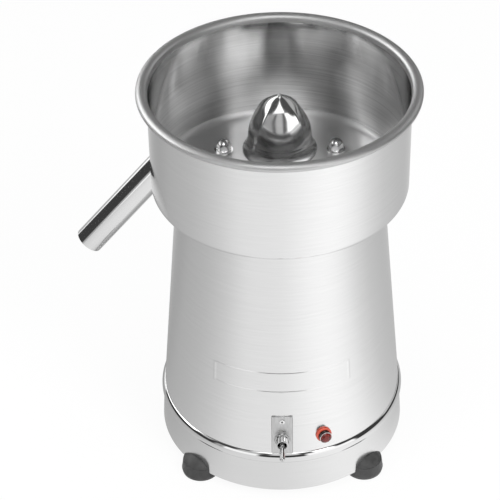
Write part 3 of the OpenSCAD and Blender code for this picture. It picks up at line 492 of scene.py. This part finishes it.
reamer = turned("reamer_cone", reamer_outline, reamer_metal, 360, fluted)
stands_for(reamer, "reamer", "reamer_metal", "reamer")


# ---- shaft ----
# The ground motor shaft comes up inside a collar that keeps the juice out. A slinger throws off
# what creeps under the reamer, a lip seal closes the collar, and a cross pin drives the reamer.

def ground_steel(name, grey, roughness, across):
    """Steel ground on a machine: grind marks of a width, and a thin film of oil in patches."""
    material, shader, shade = new_finish(name)
    marks = turned_lines(shade, across, 12 * MM)
    oil = cloud(shade, 15 * MM).step(0.45, 0.7)
    tone = oil.blend([grey] * 3, [grey * 0.8, grey * 0.77, grey * 0.7])
    feed(shader, Base_Color=tone, Metallic=1.0,
         Roughness=marks.between(roughness - 0.06, roughness + 0.08),
         Normal=shade.add("Bump", None, {"Strength": 1.0, "Distance": 0.004 * MM, "Height": marks}))
    return material


def moulded(name, colour, roughness, speck=0.3):
    """A moulded plastic: a fine orange-peel skin, slightly cloudy in its colour."""
    material, shader, shade = new_finish(name)
    peel = cloud(shade, 0.8 * MM, 2.0)
    haze = cloud(shade, 12 * MM)
    tone = haze.step(0.35, 0.7).blend(colour, [min(1, c * (1 + speck)) for c in colour])
    feed(shader, Base_Color=tone, Roughness=haze.between(roughness * 0.8, roughness * 1.2),
         Normal=shade.add("Bump", None, {"Strength": 0.4, "Distance": 0.02 * MM, "Height": peel}))
    return material


bearing_steel = ground_steel("bearing_steel", 0.72, 0.22, 0.3 * MM)
black_plastic = moulded("black_plastic", [0.02, 0.02, 0.022], 0.38)
dress(bearing_steel, "motor_shaft", "upper_bearing_outer", "upper_bearing_inner", "upper_bearing_balls",
      "lower_bearing_outer", "lower_bearing_inner", "lower_bearing_balls")
dress(chrome, "bowl_collar", "drive_pin")
dress(black_plastic, "slinger")
dress(foot_rubber, "shaft_seal")


# ---- switch ----
# A toggle switch on a nickelled plate held by two pop rivets. Its threaded bushing comes through
# the plate, with a key washer behind and a thin nut in front, and carries the bat-shaped lever.

def on_body(azimuth, z):
    """The place on the cone at an azimuth and height: Z out of the sheet, and Y up the cone."""
    r = body_r(z)
    a = math.radians(azimuth)
    at = Matrix.Translation((r * math.cos(a) * MM, r * math.sin(a) * MM, z * MM))
    return at @ Matrix.Rotation(a + math.pi / 2, 4, "Z") @ Matrix.Rotation(math.pi / 2 - taper, 4, "X")


def nickel(half_w):
    """Nickel plate brushed lengthways, with painted shade along both its cut sides."""
    material, shader, shade = new_finish("plate_nickel")
    x, y, z, radius = place_of(shade)
    strokes = shade.add("CombineXYZ", None, {0: x / (0.25 * MM), 1: y / (4 * MM), 2: z / (9 * MM)})
    brushed = shade.add("TexNoise", None, {"Vector": strokes, "Scale": 1.0, "Detail": 3.0})
    handled = cloud(shade, 14 * MM)
    face = brushed.step(0.25, 0.75).blend([0.52] * 3, [0.72] * 3)
    # painted shade: the colour turns near black close to both long sides, for the shadow gap beside the
    # plate
    side_shade = ((x * x) ** 0.5).step((half_w - 0.5) * MM, (half_w - 0.15) * MM)
    feed(shader, Base_Color=side_shade.blend(face, [0.1] * 3), Metallic=1.0,
         Roughness=(handled - 0.5) * 0.1 + 0.33, Anisotropic=0.5,
         Normal=shade.add("Bump", None, {"Strength": 1.0, "Distance": 0.006 * MM, "Height": brushed}))
    return material


def cut_sheet(name, loops, low, high, bevel, material, place):
    """A flat piece cut from sheet: an outline and its holes in millimetres, its top and underside
    at two heights, and its edges broken by a small bevel."""
    curve = bpy.data.curves.new(name, "CURVE")
    curve.dimensions = "2D"
    curve.fill_mode = "BOTH"
    curve.extrude = (high - low) / 2 - bevel
    curve.bevel_depth = bevel
    curve.bevel_resolution = 2
    curve.offset = -bevel
    for loop in loops:
        line = curve.splines.new("POLY")
        line.points.add(len(loop) - 1)
        line.use_cyclic_u = True
        for point, (x, y) in zip(line.points, loop):
            point.co = (x, y, 0, 1)
    drawn = bpy.data.objects.new(name, curve)
    bpy.context.scene.collection.objects.link(drawn)
    bpy.context.view_layer.update()
    mesh = bpy.data.meshes.new_from_object(drawn.evaluated_get(bpy.context.evaluated_depsgraph_get()))
    bpy.data.objects.remove(drawn)
    mesh.transform(place @ Matrix.Scale(MM, 4) @ Matrix.Translation((0, 0, (low + high) / 2)))
    mesh.materials.clear()
    mesh.materials.append(material)
    mesh.shade_smooth()
    mesh.set_sharp_from_angle(angle=math.radians(40))
    piece = bpy.data.objects.new(name, mesh)
    bpy.context.scene.collection.objects.link(piece)
    return piece


def rounded(x0, y0, x1, y1, r, steps=6):
    """A rectangle with round corners."""
    points = []
    for i, (x, y) in enumerate(((x1 - r, y1 - r), (x0 + r, y1 - r), (x0 + r, y0 + r), (x1 - r, y0 + r))):
        points += arc((x, y), r, 90 * i, 90 * (i + 1), steps)
    return points


control_z = 75.5
plate_low, plate_high, plate_half_w, plate_top = -16.8, 28.5, 10.5, 1.25
key_y, key_half_w, key_half_h, bushing_hole_r = 10.9, 2.7, 0.65, 6.15
switch_nickel = bright_steel("switch_nickel", 0.62, 0.08, 0.0005 * MM, 0.0)
at_switch = on_body(270, control_z)
plate_loops = [rounded(-plate_half_w, plate_low, plate_half_w, plate_high, 1.2),
               arc((0, 0), bushing_hole_r, 0, 354, 59),
               rounded(-key_half_w, key_y - key_half_h, key_half_w, key_y + key_half_h, 0.5)]
plate = cut_sheet("switch_plate_sheet", plate_loops, 0.05, plate_top, 0.4, nickel(plate_half_w), at_switch)
stands_for(plate, "stand", "plate_steel", "switch_plate")
rivet_outline = [(0, 0), (2.6, 0)] + arc((1.9, 0.15), 0.95, 0, 80, 6)
rivet_outline += [(1.3, 1.1), (0.95, 1.0), (0.9, 0.3), (0, 0.3)]
mandrel_outline = [(0, 0.32), (0.85, 0.32), (0.85, 0.6), (0.6, 0.75), (0, 0.8)]
# painted shade: near black for the rivets' mandrels and the key tab, standing in for the shade in the rivet
# holes and the key slot
painted_shade_black = moulded("painted_shade_steel", [0.012, 0.012, 0.012], 0.5)
tab_outline = rounded(0.3 - key_half_w, key_y - 0.5, key_half_w - 0.3, key_y + 0.5, 0.3)
# the key tab fills the plate's slot in painted shade
tab = cut_sheet("key_tab", [tab_outline], 0.06, 0.5, 0.05, painted_shade_black, at_switch)
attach(tab, "stand")
for name, y in (("pop_rivet_upper", 22.5), ("pop_rivet_lower", -12.4)):
    seat = at_switch @ Matrix.Translation((0, y * MM, (plate_top + 0.03) * MM))
    rivet = turned(name, rivet_outline, chrome, 48, place=seat)
    stands_for(rivet, "stand", "plate_steel", "plate_rivets")
    # the mandrel is a painted shade dot in the rivet's hole
    mandrel = turned(name + "_mandrel", mandrel_outline, painted_shade_black, 24, place=seat)
    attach(mandrel, "stand")
nut_seat = at_switch @ Matrix.Translation((0, 0, (plate_top + 0.03) * MM))
nut_seat = nut_seat @ Matrix.Rotation(math.radians(30), 4, "Z")
flange_outline = [(6.1, 0), (7.7, 0), (7.95, 0.25), (7.95, 0.5), (7.8, 0.7), (6.1, 0.72)]
nut_ring = [(6.1, 0.7), (7.2, 0.7), (8.2, 0.75), (8.2, 2.5), (7.3, 3.25), (6.6, 3.3), (6.1, 2.9)]
flange = turned("toggle_nut_flange", flange_outline, switch_nickel, 96, place=nut_seat, ring=True)
stands_for(flange, "stand", "chrome", "toggle_nut")
nut = turned("toggle_nut_hexagon", nut_ring, switch_nickel, 96, hexagon(14.3), nut_seat, ring=True)
stands_for(nut, "stand", "chrome", "toggle_nut")
bushing_r, thread_low, thread_high, thread_pitch, thread_depth = 5.95, 3.9, 10.3, 0.8, 0.5


def threaded(r, z, angle):
    """A thread cut on the outside of the bushing."""
    if r < bushing_r - thread_depth or z < thread_low or z > thread_high:
        return r
    turn = (z / thread_pitch - angle / 360) % 1
    return r - thread_depth * abs(2 * turn - 1)


bushing_outline = [(3.3, 0), (bushing_r, 0)] + [(bushing_r, 0.1 * i) for i in range(36, 104)]
bushing_outline += [(5.7, 10.5), (5.4, 10.75)]
bushing_outline += [(4.9, 10.75), (4.6, 10.5), (3.6, 7.0), (3.3, 6.0)]
bushing = turned("toggle_bushing_thread", bushing_outline, switch_nickel, 72, threaded, at_switch,
                 ring=True, crease=50)
stands_for(bushing, "stand", "chrome", "toggle_bushing")
# the lever leans down by half of its throw
lever_at = at_switch @ Matrix.Translation((0, 0, 3.75 * MM)) @ Matrix.Rotation(math.radians(13), 4, "X")
lever_outline = [(0, -3.2)] + arc((0, 0), 3.2, -80, 48, 14) + [(2.0, 3.2), (2.3, 5), (2.3, 9)]
lever_outline += [(2.75, 21.5)] + arc((0, 21.75), 2.75, 5, 85, 8) + [(0, 24.5)]
lever = turned("toggle_lever_bat", lever_outline, switch_nickel, 64, place=lever_at)
stands_for(lever, "switch_lever", "chrome", "toggle_lever")


def zinc():
    """Zinc plate, dull and slightly yellow in patches."""
    material, shader, shade = new_finish("zinc_plate")
    patch = cloud(shade, 6 * MM)
    tone = patch.step(0.35, 0.65).blend([0.55, 0.56, 0.58], [0.62, 0.6, 0.5])
    grain = {"Strength": 1.0, "Distance": 0.01 * MM, "Height": cloud(shade, 0.4 * MM)}
    feed(shader, Base_Color=tone, Metallic=1.0, Roughness=patch.between(0.28, 0.45),
         Normal=shade.add("Bump", None, grain))
    return material


def brass_finish():
    """Stamped brass, browned in patches."""
    material, shader, shade = new_finish("stamped_brass")
    tarnish = cloud(shade, 5 * MM)
    tone = tarnish.step(0.3, 0.7).blend([0.72, 0.52, 0.24], [0.5, 0.34, 0.16])
    feed(shader, Base_Color=tone, Metallic=1.0, Roughness=tarnish.between(0.25, 0.45))
    return material


zinc_plate = zinc()
stamped_brass = brass_finish()
dress(zinc_plate, "toggle_washer")
dress(black_plastic, "toggle_body")
dress(stamped_brass, "toggle_terminals", "upper_bearing_cage", "lower_bearing_cage")


# ---- pilot lamp ----
# A pilot lamp pushed through the body and held by a nut behind: a coral red plastic flange, a
# chromed barrel painted near black as its dark reflection, a bright bezel, and a deep red plastic lens cut
# in facets.

def lens_finish():
    """Deep red plastic with small cuts in it, with light spots painted on as glints."""
    material, shader, shade = new_finish("lens_red")
    place = shade.add("TexCoord", None, None, "Object")
    facets = shade.add("TexVoronoi", None, {"Vector": place, "Scale": 900.0}, "Distance")
    # painted highlight: light red spots round the facet cells stand in for glints, and the same spots also
    # vary the roughness
    painted_glint = facets.step(0.1, 0.75)
    tone = painted_glint.blend([0.3, 0.015, 0.008], [0.06, 0.001, 0.001])
    feed(shader, Base_Color=tone, Roughness=painted_glint.between(0.05, 0.12), Coat_Weight=0.3,
         Normal=shade.add("Bump", None, {"Strength": 1.0, "Distance": 0.25 * MM, "Height": facets}))
    return material


at_lamp = on_body(290, control_z)
barrel_in, barrel_out, barrel_low, barrel_high = 5.72, 6.2, 2.28, 6.4
lens_r, lens_top = 5.65, 9.65
coral = moulded("coral_plastic", [0.62, 0.1, 0.06], 0.3, 0.15)
red_outline = [(5.6, 0.05), (7.6, 0.05), (8, 0.4), (8, 1.3)] + arc((7.1, 1.35), 0.9, 0, 90, 6)
red_outline += [(6.3, 2.25), (5.6, 2.25)]
flange = turned("lamp_flange_ring", red_outline, coral, 96, place=at_lamp, ring=True)
stands_for(flange, "stand", "red_flange", "lamp_flange")
barrel_outline = [(barrel_in, barrel_low), (barrel_out, barrel_low)]
barrel_outline += [(barrel_out, barrel_high), (barrel_in, barrel_high)]
# painted reflection: the chromed barrel is made near black for the dark surroundings it mirrors
painted_dark_chrome = bright_steel("painted_dark_chrome", 0.06, 0.1, 0.0005 * MM, 0.0)
barrel = turned("lamp_barrel_tube", barrel_outline, painted_dark_chrome, 96, place=at_lamp, ring=True)
stands_for(barrel, "stand", "chrome", "lamp_barrel")
bezel_outline = [(barrel_in, barrel_high + 0.02), (barrel_out, barrel_high + 0.02), (6.3, 6.7), (6.15, 7.0)]
bezel_outline += [(5.85, 7.1), (barrel_in, 6.9)]
bezel = turned("lamp_bezel", bezel_outline, chrome, 96, place=at_lamp, ring=True)
stands_for(bezel, "stand", "chrome", "lamp_barrel")
lens_outline = [(0, 4.3), (5.3, 4.3), (lens_r, 4.6), (lens_r, 7.1), (4.9, 8.3), (3.2, 9.3)]
lens_outline += [(1.3, lens_top), (0, lens_top)]
lens = turned("lamp_lens_cut", lens_outline, lens_finish(), 12, place=at_lamp, crease=4)
stands_for(lens, "stand", "red_lens", "lamp_lens")
dress(zinc_plate, "lamp_nut")
dress(black_plastic, "lamp_body")


# ---- motor ----
# Die-cast end bells bolted over a stack of steel laminations with enamelled copper windings, and
# a squirrel-cage rotor with its fan between two ball bearings.

def cast_metal(name, grey):
    """Die-cast aluminium: a grainy skin, darker in soft patches."""
    material, shader, shade = new_finish(name)
    grain = cloud(shade, 1.5 * MM)
    patch = cloud(shade, 25 * MM)
    feed(shader, Base_Color=patch.step(0.3, 0.7).blend([grey * 0.85] * 3, [grey] * 3), Metallic=1.0,
         Roughness=grain.between(0.45, 0.65),
         Normal=shade.add("Bump", None, {"Strength": 0.8, "Distance": 0.05 * MM, "Height": grain}))
    return material


def laminations():
    """The edges of thin steel sheets stacked one on another, with a blue-grey skin."""
    material, shader, shade = new_finish("laminations")
    z = place_of(shade)[2]
    lamination_t = 0.5 * MM
    sheets = shade.maths("PINGPONG", z, lamination_t) / lamination_t
    scale = cloud(shade, 10 * MM)
    feed(shader, Base_Color=sheets.step(0.0, 0.35).blend([0.05] * 3, [0.2, 0.21, 0.24]), Metallic=0.8,
         Roughness=scale.between(0.4, 0.6),
         Normal=shade.add("Bump", None, {"Strength": 1.0, "Distance": 0.08 * MM, "Height": sheets}))
    return material


def windings():
    """Enamelled copper wire wound in turns, and varnished."""
    material, shader, shade = new_finish("enamelled_wire")
    x, y, z, radius = place_of(shade)
    wire_r = 0.45 * MM
    wires = shade.maths("PINGPONG", radius + z * 0.3, wire_r) / wire_r
    varnish = cloud(shade, 8 * MM)
    tone = varnish.step(0.3, 0.7).blend([0.5, 0.19, 0.07], [0.3, 0.1, 0.04])
    feed(shader, Base_Color=tone, Metallic=0.7, Roughness=varnish.between(0.2, 0.4), Coat_Weight=0.6,
         Normal=shade.add("Bump", None, {"Strength": 1.0, "Distance": 0.2 * MM, "Height": wires}))
    return material


dress(cast_metal("motor_casting", 0.6), "top_bell", "bottom_bell")
dress(laminations(), "stator_core", "rotor_core")
dress(windings(), "stator_windings")
dress(black_plastic, "cooling_fan")


# ---- underside ----
# A vented steel cover on four turned pillars inside the base ring, with the run capacitor in its
# clamp on it, and a rubber grommet in the rear of the body where the cord would enter.

dress(zinc_plate, "mounting_studs", "stud_nuts", "base_pillars", "base_screws", "bottom_cover",
      "cover_screws", "foot_bolts", "foot_nuts", "capacitor_clamp", "capacitor_screw", "through_bolts")
dress(moulded("capacitor_case", [0.78, 0.78, 0.74], 0.4, 0.08), "capacitor")
dress(rubber("grommet_rubber", 0.03, 0.5), "cord_grommet")


# ---- studio ----
# A pale counter inside a tent of white and grey cloth. The tent is there only for the steel to
# mirror; three soft lamps and the white room light the rest.

def sheet(name, spots, faces, material):
    """A stage piece that isn't part of the juicer."""
    mesh = bpy.data.meshes.new(name)
    mesh.from_pydata(spots, [], faces)
    mesh.shade_smooth()
    mesh.materials.append(material)
    made = bpy.data.objects.new(name, mesh)
    bpy.context.scene.collection.objects.link(made)
    return made


def stage_finish(name, surface):
    """A material of the studio: surface(shade) gives its shader."""
    material = bpy.data.materials.new(name)
    material.use_nodes = True
    material.node_tree.nodes.clear()
    shade = Shade(material.node_tree)
    shade.add("OutputMaterial", None, {"Surface": surface(shade)})
    return material


def counter(shade):
    """Nearly white to the eye, with a soft shadow. Steel sees a painted pool of light on it, brightest to
    the front right and falling off to grey at both sides.
    """
    # the azimuth from the front to the right, and the level of the painted light there
    levels = [(-180, 0.7), (-150, 0.47), (-125, 0.29), (-104, 0.38), (-75, 0.43), (-50, 0.57), (-30, 0.76),
              (0, 0.76), (18, 0.89), (34, 0.97), (48, 0.97), (63, 0.84), (76, 0.68), (92, 0.55), (128, 0.41),
              (155, 0.54), (180, 0.7)]
    x, y, z, radius = place_of(shade)
    azimuth = shade.maths("ARCTAN2", x, -1 * y) / (2 * math.pi) + 0.5
    stops = [(0.5 + a / 360, level) for a, level in levels]
    # painted pool of light: the level steel sees, by azimuth round the juicer
    painted_pool = shade.add("ValToRGB", {"stops": stops, "easing": "B_SPLINE"}, {"Fac": azimuth})
    path = shade.add("LightPath", None, None, "Is Camera Ray")
    steel_sees = path.other("Is Glossy Ray") + path.other("Is Transmission Ray")
    matt = shade.add("BsdfDiffuse", None, {"Color": (0.9, 0.9, 0.9)})
    bright = shade.add("Emission", None, {"Strength": 1.0, "Color": (1, 1, 1)})
    mirrored = shade.add("Emission", None, {"Strength": painted_pool * 1.15, "Color": (1, 1, 1)})
    seen = shade.add("MixShader", None, {0: path * 0.93, 1: matt, 2: bright})
    return shade.add("MixShader", None, {0: steel_sees * 0.92, 1: seen, 2: mirrored})


reach = 8
sheet("counter", [(-reach, -reach, 0), (reach, -reach, 0), (reach, reach, 0), (-reach, reach, 0)],
      [(0, 1, 2, 3)], stage_finish("counter", counter))

# each panel of the tent: azimuth from the front to the right, half its width, its lower and upper
# elevation, all in degrees, and how bright it is; a later one covers an earlier one
panels = [
    (0, 180, 0, 90, 0.12),
    (0, 18, 0, 28, 0.05), (42, 22, 0, 28, 1.25), (-35, 15, 0, 28, 1.2), (-55, 4, 0, 28, 0.45),
    (100, 36, 0, 28, 0.05), (-96, 38, 0, 28, 0.05), (-133, 9, 0, 16, 1.3),
    (2, 13, 28, 48, 0.8), (38, 9, 28, 48, 2.8), (-30, 11, 28, 48, 0.6),
    (-56, 12, 28, 48, 0.06), (-72, 6, 28, 48, 0.6), (-116, 34, 24, 48, 3.0), (76, 24, 28, 48, 0.05),
    (124, 24, 20, 48, 0.7), (180, 28, 20, 48, 0.2),
    (0, 34, 51, 90, 2.4),
]


def tent_glow(azimuth, elevation):
    """How bright the cloth is in a direction. Panels fade into each other over four degrees."""
    soft = 4
    glow = 0
    for middle, half_width, low, high, level in panels:
        away = abs((azimuth - middle + 180) % 360 - 180)
        across = 1 if half_width == 180 else np.clip((half_width - away) / soft + 0.5, 0, 1)
        above = np.clip((elevation - low) / soft + 0.5, 0, 1)
        below = np.clip((high - elevation) / soft + 0.5, 0, 1)
        glow += (level - glow) * across * above * below
    return glow


def towards(azimuth, elevation):
    """The direction of a point of the studio, as seen from the juicer."""
    a, e = math.radians(azimuth), math.radians(elevation)
    return math.sin(a) * math.cos(e), -math.cos(a) * math.cos(e), math.sin(e)


def cloth(shade):
    """Cloth that shines by itself, as bright at each point as its glow says."""
    glow = shade.add("Attribute", {"attribute_name": "glow"}, None, "Fac")
    return shade.add("Emission", None, {"Color": (1, 1, 1), "Strength": glow})


tent_r, around, rows = 3, 180, 46
spots, glow, faces = [], [], []
for j in range(rows):
    for i in range(around):
        azimuth, elevation = 360 * i / around, 90 * j / (rows - 1)
        spots.append([tent_r * c for c in towards(azimuth, elevation)])
        glow.append(tent_glow(azimuth, elevation))
        here, beside = j * around + i, j * around + (i + 1) % around
        if j < rows - 1:
            faces.append((here, beside, beside + around, here + around))
tent = sheet("tent", spots, faces, stage_finish("tent_cloth", cloth))
tent.data.attributes.new("glow", "FLOAT", "POINT").data.foreach_set("value", glow)
tent.visible_camera = False
tent.visible_diffuse = False
tent.visible_shadow = False

world = bpy.data.worlds.new("studio")
bpy.context.scene.world = world
world.use_nodes = True
world.node_tree.nodes.clear()
shade = Shade(world.node_tree)
path = shade.add("LightPath", None, None, "Is Camera Ray")
seen = path + path.other("Is Glossy Ray") + path.other("Is Transmission Ray")
sky = shade.add("Background", None, {"Color": (1, 1, 1), "Strength": seen * 0.5 + 0.5})
shade.add("OutputWorld", None, {"Surface": sky})


def lamp(name, azimuth, elevation, distance, size, watts):
    """A soft lamp aimed at the juicer's middle, which steel doesn't mirror."""
    light = bpy.data.lights.new(name, "AREA")
    light.shape = "RECTANGLE"
    light.size, light.size_y = size
    light.energy = watts
    made = bpy.data.objects.new(name, light)
    bpy.context.scene.collection.objects.link(made)
    back = Vector(towards(azimuth, elevation))
    made.location = Vector((0, 0, 0.25)) + back * distance
    made.rotation_euler = back.to_track_quat("Z", "Y").to_euler()
    made.visible_camera = False
    made.visible_glossy = False


lamp("lamp_right", 40, 42, 2.0, (0.7, 1.0), 20)
lamp("lamp_left", -50, 40, 2.0, (0.6, 0.9), 8)
lamp("lamp_top", 0, 88, 1.8, (1.1, 1.1), 14)


# ---- camera ----
# It looks down on the juicer from the front, from nearly two metres away, through a long lens. It is
# turned half a degree, and shifted so that the juicer stands a little right of the middle.

camera = bpy.data.cameras.new("camera")
camera.lens = 133.9
camera.shift_x = -0.0614
camera.shift_y = -0.0032
viewer = bpy.data.objects.new("camera", camera)
bpy.context.scene.collection.objects.link(viewer)
viewer.location = (0, -1.458, 1.348)
tilt = Matrix.Rotation(math.radians(90 - 37.7), 3, "X") @ Matrix.Rotation(math.radians(-0.45), 3, "Z")
viewer.rotation_euler = tilt.to_euler()
bpy.context.scene.camera = viewer
bpy.context.scene.view_settings.view_transform = "Standard"
